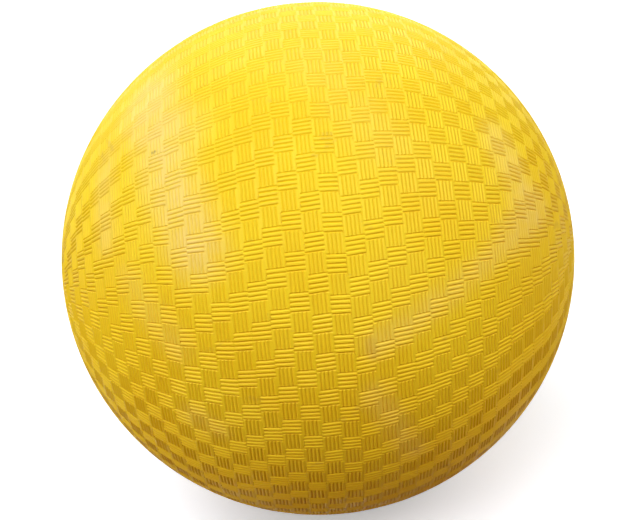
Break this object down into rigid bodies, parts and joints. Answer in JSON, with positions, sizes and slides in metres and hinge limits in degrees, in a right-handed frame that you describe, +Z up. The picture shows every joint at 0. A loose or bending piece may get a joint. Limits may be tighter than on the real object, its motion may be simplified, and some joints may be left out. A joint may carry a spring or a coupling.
{
  "type": "dodgeball",
  "caption": "Hollow rubber dodgeball with a basket-weave relief: moulded cover halves over a thread-wound bladder, and a needle valve with a pull-out plug at one pole.",
  "frame": {"origin": "centre of the ball", "axes": "+X along the mould axis, out through the valve at one pole; the parting plane of the cover is x = 0; +Z up, away from the floor that the ball lies on"},
  "size_m": [0.2159, 0.216, 0.216],
  "materials": {
    "cover_rubber": "satin",
    "nylon_thread": "matte",
    "bladder_rubber": "matte",
    "valve_rubber": "satin"
  },
  "bodies": {
    "ball": {"cover_plain_half": "cover_rubber", "cover_valve_half": "cover_rubber", "nylon_winding": "nylon_thread", "valve_patch": "bladder_rubber", "bladder": "bladder_rubber", "valve_housing": "valve_rubber"},
    "plug": {"valve_plug": "valve_rubber"}
  },
  "joints": [
    {"name": "plug_pull", "type": "slide", "parent": "ball", "child": "plug", "axis": [1, 0, 0], "range_m": [0, 0.02]}
  ]
}
